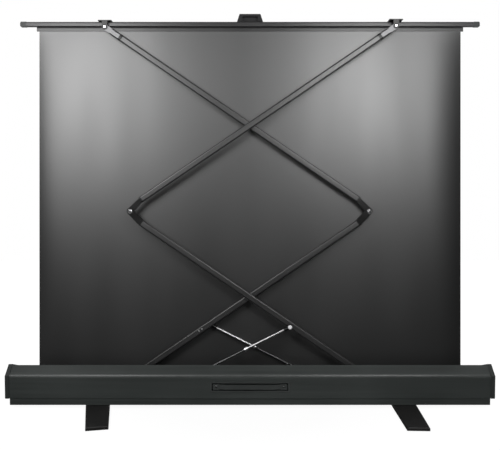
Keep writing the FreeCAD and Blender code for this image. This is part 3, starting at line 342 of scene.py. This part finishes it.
def grid_faces(rows, columns, wrap_columns=False):
    """Four-cornered faces between neighbours in a grid of points numbered row by row."""
    row = np.arange(rows - 1)[:, None]
    column = np.arange(columns if wrap_columns else columns - 1)[None, :]
    after = (column + 1) % columns
    corners = (row * columns + column, row * columns + after,
               (row + 1) * columns + after, (row + 1) * columns + column)
    return np.stack(np.broadcast_arrays(*corners), axis=-1).reshape(-1, 4)


def mesh_piece(name, points, faces, body, finishes, face_finish=None, uv=None):
    """A new object at the origin from arrays of points and faces, which rides on a body of the frame."""
    points = points.reshape(-1, 3)
    mesh = bpy.data.meshes.new(name)
    mesh.from_pydata(points.tolist(), [], list(map(list, faces)))
    for finish in finishes:
        mesh.materials.append(finish)
    if face_finish is not None:
        mesh.polygons.foreach_set("material_index", face_finish.astype(np.int32))
    if uv is not None:
        layer = mesh.uv_layers.new(name="along_the_cloth")
        corner = np.zeros(len(mesh.loops), np.int32)
        mesh.loops.foreach_get("vertex_index", corner)
        layer.data.foreach_set("uv", uv.reshape(-1, 2)[corner].astype(np.float32).ravel())
    mesh.set_sharp_from_angle(angle=SHARP_FROM)
    mesh.update()
    piece = placed(name, mesh)
    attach(piece, body)
    print(name, len(points), "points", len(faces), "faces")
    return piece


# %% [markdown]
# The back of the cloth is a coated black fabric with a fine pebbled skin, which gives the broad sheen
# that fades down the screen. Its side edges curl forward a little, so the sheen leaves them, most on the
# right. A curl in the mesh would foul the roller when the cloth is wound in, so it is a bump across the
# cloth's own map. The front is matt white with a faint weave, inside a black border that is painted by
# that map.

# %% Cloth finishes
# A row of the curls is the edge's place on the map, the reach inwards and the depth.
CURLS = ((0, 0.12, 0.0095), (1, 0.16, 0.0210))
CURL_EASE = 0.35
BORDER_SIDE = 0.035
BORDER_END = 0.060
BORDER_BLACK = (0.012, 0.012, 0.012)
SCREEN_WHITE = (0.78, 0.78, 0.77)


def cloth_map_split(tree):
    """The cloth's own map, as a distance from 0 to 1 across it and another up it."""
    return add(tree, "SeparateXYZ", Vector=add(tree, "UVMap", {"uv_map": "along_the_cloth"}).outputs[0])


def edge_curl(tree, width):
    """Height of the cube of the nearness to an edge, least at the bar and roller that hold the cloth."""
    split = cloth_map_split(tree)
    height = 0.0
    for edge, reach, depth in CURLS:
        start, stop = sorted((edge, abs(edge - reach / width)))
        nearness = ranged(tree, split.outputs["X"], 1 - edge, edge, start, stop)
        drop = calc(tree, "MULTIPLY", calc(tree, "POWER", nearness, 3), depth)
        height = calc(tree, "SUBTRACT", height, drop)
    half_turn = calc(tree, "MULTIPLY", split.outputs["Y"], math.pi)
    free = calc(tree, "POWER", calc(tree, "SINE", half_turn), CURL_EASE)
    return bumped(tree, calc(tree, "MULTIPLY", height, free), depth=1.0)


def cloth_back(width):
    """Coated black cloth: a fine pebbled skin, and gloss that drifts in wide soft bands down the drop."""
    material, tree, shader = new_material("cloth_black_back")
    pebbles = stretched_noise(tree, scale=900, detail=2)
    bands = stretched_noise(tree, scale=2.2, stretch=(2.5, 1, 0.5), detail=1)
    wire(tree, shader, Specular_IOR_Level=1.0,
         Base_Color=tinted(tree, ranged(tree, bands, 0, 1),
                           (0.0012, 0.0013, 0.0013), (0.0020, 0.0021, 0.0021)),
         Roughness=ranged(tree, bands, 0.45, 0.50),
         Normal=bumped(tree, pebbles, depth=0.00005, strength=0.25, below=edge_curl(tree, width)))
    return material


def cloth_front(width, drop):
    """Matt white cloth with a fine weave. The border is where the map is near 0 or 1 either way."""
    material, tree, shader = new_material("cloth_white_front")
    split = cloth_map_split(tree)
    inside = 1.0
    for axis, border in (("X", BORDER_SIDE / width), ("Y", BORDER_END / drop)):
        past = calc(tree, "GREATER_THAN", calc(tree, "PINGPONG", split.outputs[axis], 0.5), border)
        inside = calc(tree, "MULTIPLY", inside, past)
    weave = stretched_noise(tree, scale=700, detail=2)
    wire(tree, shader, Specular_IOR_Level=0.2,
         Base_Color=tinted(tree, inside, BORDER_BLACK, SCREEN_WHITE),
         Roughness=ranged(tree, weave, 0.78, 0.92),
         Normal=bumped(tree, weave, depth=0.00004, strength=0.3))
    return material


# %% [markdown]
# The cloth is cut to the box of the frame's own sheet. A grid of points is laid over it once, shifted by
# the thickness for the front, and a strip of faces round the rim closes the two. The map follows the
# grid, from 0 to 1 across and from 0 to 1 upwards.

# %% Weave the cloth
sheet_low, sheet_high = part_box("screen_fabric")
CLOTH_WIDTH = sheet_high.x - sheet_low.x
CLOTH_DROP = sheet_high.z - sheet_low.z
ROWS, COLUMNS = 30, 35

across, upward = np.meshgrid(np.linspace(0, 1, COLUMNS), np.linspace(0, 1, ROWS))
back_points = np.stack([sheet_low.x + CLOTH_WIDTH * across, np.full_like(across, sheet_low.y),
                        sheet_low.z + CLOTH_DROP * upward], axis=-1)
front_points = back_points + np.array([0, sheet_high.y - sheet_low.y, 0])
count = ROWS * COLUMNS
back_faces = grid_faces(ROWS, COLUMNS)
front_faces = back_faces[:, ::-1] + count
number = np.arange(count).reshape(ROWS, COLUMNS)
rim = np.concatenate([number[0, :-1], number[:-1, -1], number[-1, :0:-1], number[:0:-1, 0]])
following = np.roll(rim, -1)
rim_faces = np.stack([following, rim, rim + count, following + count], axis=-1)
cloth_faces = np.concatenate([back_faces, front_faces, rim_faces])
cloth_finish = np.zeros(len(cloth_faces))
cloth_finish[len(back_faces):len(back_faces) + len(front_faces)] = 1
cloth_map = np.stack([across, upward], axis=-1)
cloth = mesh_piece("viewing_cloth", np.concatenate([back_points, front_points]), cloth_faces, "case",
                   [cloth_back(CLOTH_WIDTH), cloth_front(CLOTH_WIDTH, CLOTH_DROP)], cloth_finish,
                   np.concatenate([cloth_map, cloth_map]))

# %% [markdown]
# The last turns of cloth stay on the roller. A real roll is one long spiral, not stacked rings, so its
# section is a spiral band: the radius grows by one thickness in each turn, and the band ends where the
# flat cloth leaves the roller.

# %% Wind the cloth on the roller
tube_low, tube_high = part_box("roller_tube")
roll_low, roll_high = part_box("fabric_roll")
axis_y = (tube_low.y + tube_high.y) / 2
axis_z = (tube_low.z + tube_high.z) / 2
tube_radius = (tube_high.z - tube_low.z) / 2
roll_radius = (roll_high.z - roll_low.z) / 2
ROLL_TURNS = 2
STEPS_PER_TURN = 96
JUST_INSIDE = 0.999
THIN_START = 0.02
turn = np.linspace(0, ROLL_TURNS, ROLL_TURNS * STEPS_PER_TURN + 1)
angle = np.pi + 2 * np.pi * (turn - ROLL_TURNS)
layer = (roll_radius - tube_radius) / ROLL_TURNS
inner = np.maximum(tube_radius + layer * (turn - 1), tube_radius)
outer = np.maximum(tube_radius + layer * turn * JUST_INSIDE, inner + THIN_START * layer)
circle = np.stack([np.cos(angle), np.sin(angle)], axis=-1)
section = np.concatenate([outer[:, None] * circle, (inner[:, None] * circle)[::-1]])
roll_points = np.empty((2, len(section), 3))
roll_points[..., 0] = np.array([roll_low.x, roll_high.x])[:, None]
roll_points[..., 1] = axis_y + section[:, 0]
roll_points[..., 2] = axis_z + section[:, 1]
skin_faces = grid_faces(2, len(section), wrap_columns=True)
half = len(section) // 2
strip = np.arange(half - 1)
end_faces = np.stack([strip, strip + 1, 2 * half - 2 - strip, 2 * half - 1 - strip], axis=-1)
roll_faces = np.concatenate([skin_faces, end_faces, end_faces[:, ::-1] + len(section)])
wound_cloth = mesh_piece("wound_cloth", roll_points, roll_faces, "roller", [cloth.data.materials[0]])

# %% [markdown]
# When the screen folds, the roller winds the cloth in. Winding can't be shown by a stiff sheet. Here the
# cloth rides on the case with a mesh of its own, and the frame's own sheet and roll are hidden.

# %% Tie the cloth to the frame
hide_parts("screen_fabric")
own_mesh(cloth)
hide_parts("fabric_roll")
print("cloth", round(CLOTH_WIDTH, 3), "by", round(CLOTH_DROP, 3), "m")

# %% [markdown]
# Small fasteners. A pan-head screw, a rivet and a washer are all round, so each is a stack of rings
# about its axis. A screw's cross recess is a ring too, because a plus sign can be drawn as one radius for
# each angle. All the heads of a group are worked out together, as one array of centres plus one head.

# %% Screws, rivets and washers
SIDES = 32
around = 2 * np.pi * np.arange(SIDES) / SIDES
RECESS_REACH = 0.58
RECESS_HALF_SLOT = 0.15
DOME_RADII = np.array([1.0, 1.0, 0.87, 0.68])
SCREW_HEIGHTS = np.array([-0.1, 0.35, 0.80, 0.98, 1.0, 0.35])
RIVET_ANGLES = np.linspace(-0.05 * np.pi, 0.46 * np.pi, 6)
WASHER_HEIGHTS = np.array([-0.1, 1.0])


def cross_outline(reach, half_slot):
    """A plus sign in polar form: the nearer of the slot's end and the slot's side at each angle."""
    quarter = (around + np.pi / 4) % (np.pi / 2) - np.pi / 4
    side = half_slot / np.maximum(np.abs(np.sin(quarter)), 1e-6)
    return np.minimum(reach / np.cos(quarter), side)


def screw_rings(radius, height):
    """Radii and heights of a pan head, from its edge up over the dome and down into the recess."""
    recess = cross_outline(RECESS_REACH * radius, RECESS_HALF_SLOT * radius)
    dome = np.outer(DOME_RADII * radius, np.ones(SIDES))
    return np.concatenate([dome, recess[None], 0.9 * recess[None]]), SCREW_HEIGHTS * height


def rivet_rings(radius, height):
    """Radii and heights of a domed head: a quarter of an ellipse from its edge to near its crown."""
    return np.outer(radius * np.cos(RIVET_ANGLES), np.ones(SIDES)), height * np.sin(RIVET_ANGLES)


def washer_rings(radius, thick):
    """Radii and heights of a flat disc, stamped with a square edge."""
    return np.full((2, SIDES), radius), thick * WASHER_HEIGHTS


def turned_heads(name, centres, facing, rings, body, finish):
    """Heads at the centres: a point is centre + radius (a cos t + b sin t) + height along the facing."""
    radii, heights = rings
    facing = np.array(facing, float) / np.linalg.norm(facing)
    first = np.cross(facing, (1.0, 0.0, 0.0))
    first /= np.linalg.norm(first)
    second = np.cross(facing, first)
    turn_about = np.cos(around)[:, None] * first + np.sin(around)[:, None] * second
    head = radii[..., None] * turn_about + heights[:, None, None] * facing
    points = np.asarray(centres, float)[:, None, None, :] + head
    offsets = np.arange(len(points)) * head.shape[0] * SIDES
    wall = grid_faces(head.shape[0], SIDES, wrap_columns=True)
    walls = (wall + offsets[:, None, None]).reshape(-1, 4)
    ring = np.arange(SIDES)
    bottoms = ring[::-1] + offsets[:, None]
    tops = ring + (head.shape[0] - 1) * SIDES + offsets[:, None]
    faces = walls.tolist() + bottoms.tolist() + tops.tolist()
    mesh_piece(name, points, faces, body, [finish])


# %% [markdown]
# Where the screws sit. The carry handle has one screw in each end block, on a face that leans with the
# case. Each saddle is screwed down on the top bar.

# %% Place the screws
# A size is a radius and a height.
HANDLE_SCREW = (0.0042, 0.0020)
SADDLE_SCREW = (0.0040, 0.0020)
FACE_LEAN = math.atan2(0.004, 0.088)
BLOCK_LENGTH = 0.024
block_low, block_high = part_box("handle_blocks")
block_x = block_high.x - BLOCK_LENGTH / 2
block_y = block_low.y + math.sin(FACE_LEAN) * (block_high.z - block_low.z) / 2
block_z = (block_low.z + block_high.z) / 2
turned_heads("handle_screws", [(x, block_y, block_z) for x in (-block_x, block_x)],
             (0, -math.cos(FACE_LEAN), -math.sin(FACE_LEAN)), screw_rings(*HANDLE_SCREW), "case",
             screw_finish)

SCREW_SPREAD = 0.018
rail_low, rail_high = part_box("bar_rail")
rail_y = (rail_low.y + rail_high.y) / 2
saddle_boxes = [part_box(f"{chain}_saddle") for chain in ("rear", "front")]
saddle_centres = [((low.x + high.x) / 2 + side * SCREW_SPREAD, rail_y, high.z)
                  for low, high in saddle_boxes for side in (-1, 1)]
turned_heads("saddle_screws", saddle_centres, (0, 0, 1), screw_rings(*SADDLE_SCREW), "top_bar",
             screw_finish)

# %% [markdown]
# The strut's bracket is riveted to the lower arm, and the rivets show on the arm's other side as two
# small heads in a row. Each elbow turns on a rivet of the frame, and a dull steel washer spreads its
# head on the plastic.

# %% Place the rivets and washers
ARM_RIVET = (0.0034, 0.0012)
ELBOW_WASHER = (0.0095, 0.0006)
ELBOW_HEAD_HEIGHT = 0.0022
TUBE_WIDTH = 0.025
TUBE_THICK = 0.012
RIVETS_ALONG = np.array([0.456, 0.470])
CHAINS = (("rear", "screen_fold", 1), ("front", "front_fold", -1))
for chain, fold, side in CHAINS:
    pivot = joints[fold]["pos_m"]
    spots = np.stack([pivot[0] - side * RIVETS_ALONG * math.cos(ARM_SLOPE),
                      np.full(2, pivot[1] + side * TUBE_THICK / 2),
                      pivot[2] + RIVETS_ALONG * math.sin(ARM_SLOPE)], axis=-1)
    turned_heads(f"{chain}_arm_rivets", spots, (0, side, 0), rivet_rings(*ARM_RIVET),
                 f"{chain}_lower", zinc_finish)
    elbow = joints[f"{chain}_elbow"]["pos_m"]
    under_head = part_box(f"{chain}_elbow_rivet")[0].y + ELBOW_HEAD_HEIGHT
    turned_heads(f"{chain}_elbow_washer", [(elbow[0], under_head, elbow[2])], (0, -1, 0),
                 washer_rings(*ELBOW_WASHER), f"{chain}_lower", casting_finish)

# %% [markdown]
# A black plastic sleeve closes each upper tube where the bright top end is pressed in. It is a band whose
# section, a flat bar with eased edges, is carried round the oval of the tube.

# %% Sleeves on the arms
OVAL_STEPS = 14
SLEEVE_START = 0.070
SLEEVE_LENGTH = 0.012
SLEEVE_THICK = 0.0008
section_along = SLEEVE_START + SLEEVE_LENGTH * np.array([0, 0, 0.06, 0.94, 1, 1])
section_lift = SLEEVE_THICK * np.array([-0.5, 0.6, 1, 1, 0.6, -0.5])


def oval_path(steps):
    """Points and outward normals of a flat oval: two half circles joined by straight sides."""
    angle = np.pi * np.arange(steps) / (steps - 1) - np.pi / 2
    straight = (TUBE_WIDTH - TUBE_THICK) / 2
    cap = np.stack([np.cos(angle), np.sin(angle)], axis=-1)
    end = np.array([straight, 0.0])
    points = np.concatenate([cap * TUBE_THICK / 2 + end, -cap * TUBE_THICK / 2 - end])
    return points, np.concatenate([cap, -cap])


def arm_sleeve(chain, fold, side):
    """The oval offset by the section's height, at the section's place along the arm from its top."""
    top = joints["top_pivot"]["pos_m"]
    pivot = np.array([side * top[0], joints[fold]["pos_m"][1], top[2]])
    heading = np.array([-side * math.cos(ARM_SLOPE), 0, -math.sin(ARM_SLOPE)])
    upward = np.array([-side * math.sin(ARM_SLOPE), 0, math.cos(ARM_SLOPE)])
    path, normals = oval_path(OVAL_STEPS)
    section = path[None] + section_lift[:, None, None] * normals[None]
    points = (pivot + section_along[:, None, None] * heading + section[..., :1] * upward
              + section[..., 1:] * np.array([0, 1.0, 0]))
    rows, columns = section.shape[:2]
    faces = grid_faces(rows + 1, columns, wrap_columns=True) % (rows * columns)
    if side < 0:
        faces = faces[:, ::-1]
    mesh_piece(f"{chain}_arm_sleeve", points, faces, f"{chain}_upper", [fitting_finish])


for chain, fold, side in CHAINS:
    arm_sleeve(chain, fold, side)

# %% [markdown]
# The top bar is an extruded tube with eased edges, and its upper edge shows as a dark line because it
# turns away from the lamps. The frame's bar has sharp edges, so this one takes its place: the section is
# a rectangle whose corners are quarter circles, carried straight from one end to the other.

# %% Ease the edges of the top bar
EDGE_ROUND = 0.0045
CORNER_STEPS = 9


def rounded_bar(name, low, high, radius, body, finish):
    """Corner centre + radius (cos t, sin t) for a quarter turn at each corner, at each end of the bar."""
    quarter = np.linspace(0, np.pi / 2, CORNER_STEPS)
    angle = (np.arange(4)[:, None] * np.pi / 2 + quarter).ravel()
    corner = np.repeat(np.array([[1, 1], [-1, 1], [-1, -1], [1, -1]]), CORNER_STEPS, axis=0)
    half = np.array([high.y - low.y, high.z - low.z]) / 2
    middle = np.array([high.y + low.y, high.z + low.z]) / 2
    circle = np.stack([np.cos(angle), np.sin(angle)], axis=-1)
    section = middle + corner * (half - radius) + radius * circle
    points = np.empty((2, len(section), 3))
    points[..., 0] = np.array([low.x, high.x])[:, None]
    points[..., 1:] = section
    ring = np.arange(len(section))
    faces = grid_faces(2, len(section), wrap_columns=True).tolist()
    faces += [ring[::-1].tolist(), (ring + len(section)).tolist()]
    return mesh_piece(name, points, faces, body, [finish])


eased_bar = rounded_bar("eased_bar", rail_low, rail_high, EDGE_ROUND, "top_bar", bar_finish)
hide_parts("bar_rail")

# %% [markdown]
# Light. Seen from behind, the cloth has a broad sheen high on its left and right that fades to near black
# at the case. Two softboxes on the camera's side give that sheen, because satin cloth mirrors them only
# in its upper half, one on each side of a darker middle. One wide lamp would be simpler, but it would
# fill the middle too. The upright face of the case lies far below both, so a weak lamp near the floor
# lifts it. No surface mirrors that one, or the foot of the cloth would show it.

# %% Lamps
LAMP_HEIGHT = 0.95
LAMP_RISE = 1.58
LAMP_AWAY = -1.40
LAMP_DIP = math.radians(4)
# A row of the softboxes is the name, the place along X, the width and the watts.
SOFTBOXES = (("left_softbox", -1.08, 0.85, 39), ("right_softbox", 0.77, 0.65, 30))
FILL_PLACE = (0.0, -1.60, 0.30)
FILL_WIDTH = 2.2
FILL_HEIGHT = 0.30
FILL_WATTS = 13


def soft_light(name, place, dip, width, height, watts):
    """A rectangular lamp at a place that faces +Y, tipped down by the dip."""
    lamp = bpy.data.lights.new(name, "AREA")
    lamp.shape = "RECTANGLE"
    lamp.size = width
    lamp.size_y = height
    lamp.energy = watts
    holder = placed(name, lamp)
    holder.location = place
    holder.rotation_euler = (math.pi / 2 - dip, 0, 0)
    holder.visible_camera = False
    return holder


for name, x, width, watts in SOFTBOXES:
    soft_light(name, (x, LAMP_AWAY, LAMP_RISE), LAMP_DIP, width, LAMP_HEIGHT, watts)
low_fill = soft_light("low_fill", FILL_PLACE, 0.0, FILL_WIDTH, FILL_HEIGHT, FILL_WATTS)
low_fill.visible_glossy = False
print("lamps:", [lamp.name for lamp in bpy.data.lights])

# %% [markdown]
# The studio is a white wall in front of the screen, which is behind it in this view, and a dim room on
# the camera's side. Real black cloth is photographed this way, because a white room would fill its sheen.
# The world makes both: its strength rises from the dim room to the white wall as a ray turns towards +Y.
# A camera that walks round the screen still has white behind the part, so camera and glass rays see
# white everywhere, while mirrors see the wall and the dim room.

# %% Room
WHITE = (1, 1, 1, 1)
ROOM_DIM = 0.05
WALL_FROM = 0.35


def looked_at(tree, mirrored):
    """1 for a camera or glass ray, the mirrored share for a ray that left a glossy surface, else 0."""
    path = add(tree, "LightPath")
    seen = calc(tree, "MULTIPLY", path.outputs["Is Glossy Ray"], mirrored)
    for ray in ("Is Camera Ray", "Is Transmission Ray"):
        seen = calc(tree, "MAXIMUM", seen, path.outputs[ray])
    return seen


world = bpy.data.worlds.new("studio")
bpy.context.scene.world = world
world_tree = emptied(world)
look = add(world_tree, "SeparateXYZ", Vector=add(world_tree, "TexCoord").outputs["Generated"])
wall = ranged(world_tree, look.outputs["Y"], ROOM_DIM, 1.0, 0.0, WALL_FROM)
white_room = calc(world_tree, "MAXIMUM", wall, looked_at(world_tree, wall))
studio = add(world_tree, "Background", Color=WHITE, Strength=white_room)
add(world_tree, "OutputWorld", Surface=studio.outputs[0])
print("room from", ROOM_DIM, "to a white wall")

# %% [markdown]
# The floor is a plain pale sheet. Its own colour is lit and shadowed like any surface, so it keeps the
# soft shadow under the feet. White is added where a camera, mirror or glass ray looks at it. What mirrors
# see fades out on the camera's side, where the dim room begins. A stride from the screen the floor
# reaches full white, so that no line shows where the low lamp's light stops or where the floor meets the
# wall.

# %% Floor
FLOOR_HALF = 6.0
FLOOR_GREY = (0.08, 0.08, 0.08, 1)
FLOOR_GLOW = 0.92
GLOW_RISES = 0.3
GLOW_FULL = 1.4
MIRROR_FADE = (-0.05, 0.08)


def pale_floor():
    """Diffuse grey, plus white for the rays that look at it, which fades along Y for mirror rays alone."""
    material = bpy.data.materials.new("pale_floor")
    tree = emptied(material)
    where = add(tree, "TexCoord").outputs["Object"]
    behind = add(tree, "SeparateXYZ", Vector=where).outputs["Y"]
    away = calc(tree, "LENGTH", where, kind="VectorMath")
    seen = looked_at(tree, ranged(tree, behind, 0, 1, *MIRROR_FADE))
    glow = ranged(tree, away, FLOOR_GLOW, 1.0, GLOW_RISES, GLOW_FULL)
    both = add(tree, "AddShader")
    lit = add(tree, "BsdfDiffuse", Color=FLOOR_GREY)
    white = add(tree, "Emission", Color=WHITE, Strength=calc(tree, "MULTIPLY", seen, glow))
    for shader, socket in zip((lit, white), both.inputs):
        fill(tree, socket, shader.outputs[0])
    add(tree, "OutputMaterial", Surface=both.outputs[0])
    return material


floor_mesh = bpy.data.meshes.new("floor")
floor_mesh.from_pydata([(-FLOOR_HALF, -FLOOR_HALF, 0), (FLOOR_HALF, -FLOOR_HALF, 0),
                        (FLOOR_HALF, FLOOR_HALF, 0), (-FLOOR_HALF, FLOOR_HALF, 0)], [], [(0, 1, 2, 3)])
floor_mesh.materials.append(pale_floor())
floor = placed("floor", floor_mesh)

# %% [markdown]
# The camera stands behind the screen, level, a little above the middle of the cloth. The case and the top
# bar stay parallel in the picture, so the camera isn't tilted. A small shift lowers the frame to take in
# the feet.

# %% Camera
IMAGE_WIDTH = 500
FOCAL_PIXELS = 643.9
HORIZON_ABOVE_MIDDLE = 25
SENSOR_WIDTH = 36.0
CAMERA_PLACE = (0.0, -2.568, 0.8125)
camera_data = bpy.data.cameras.new("camera")
camera_data.sensor_width = SENSOR_WIDTH
camera_data.lens = FOCAL_PIXELS / IMAGE_WIDTH * SENSOR_WIDTH
camera_data.shift_y = -HORIZON_ABOVE_MIDDLE / IMAGE_WIDTH
camera = placed("camera", camera_data)
camera.location = CAMERA_PLACE
camera.rotation_euler = (math.pi / 2, 0, 0)
bpy.context.scene.camera = camera
bpy.context.scene.view_settings.view_transform = "Standard"
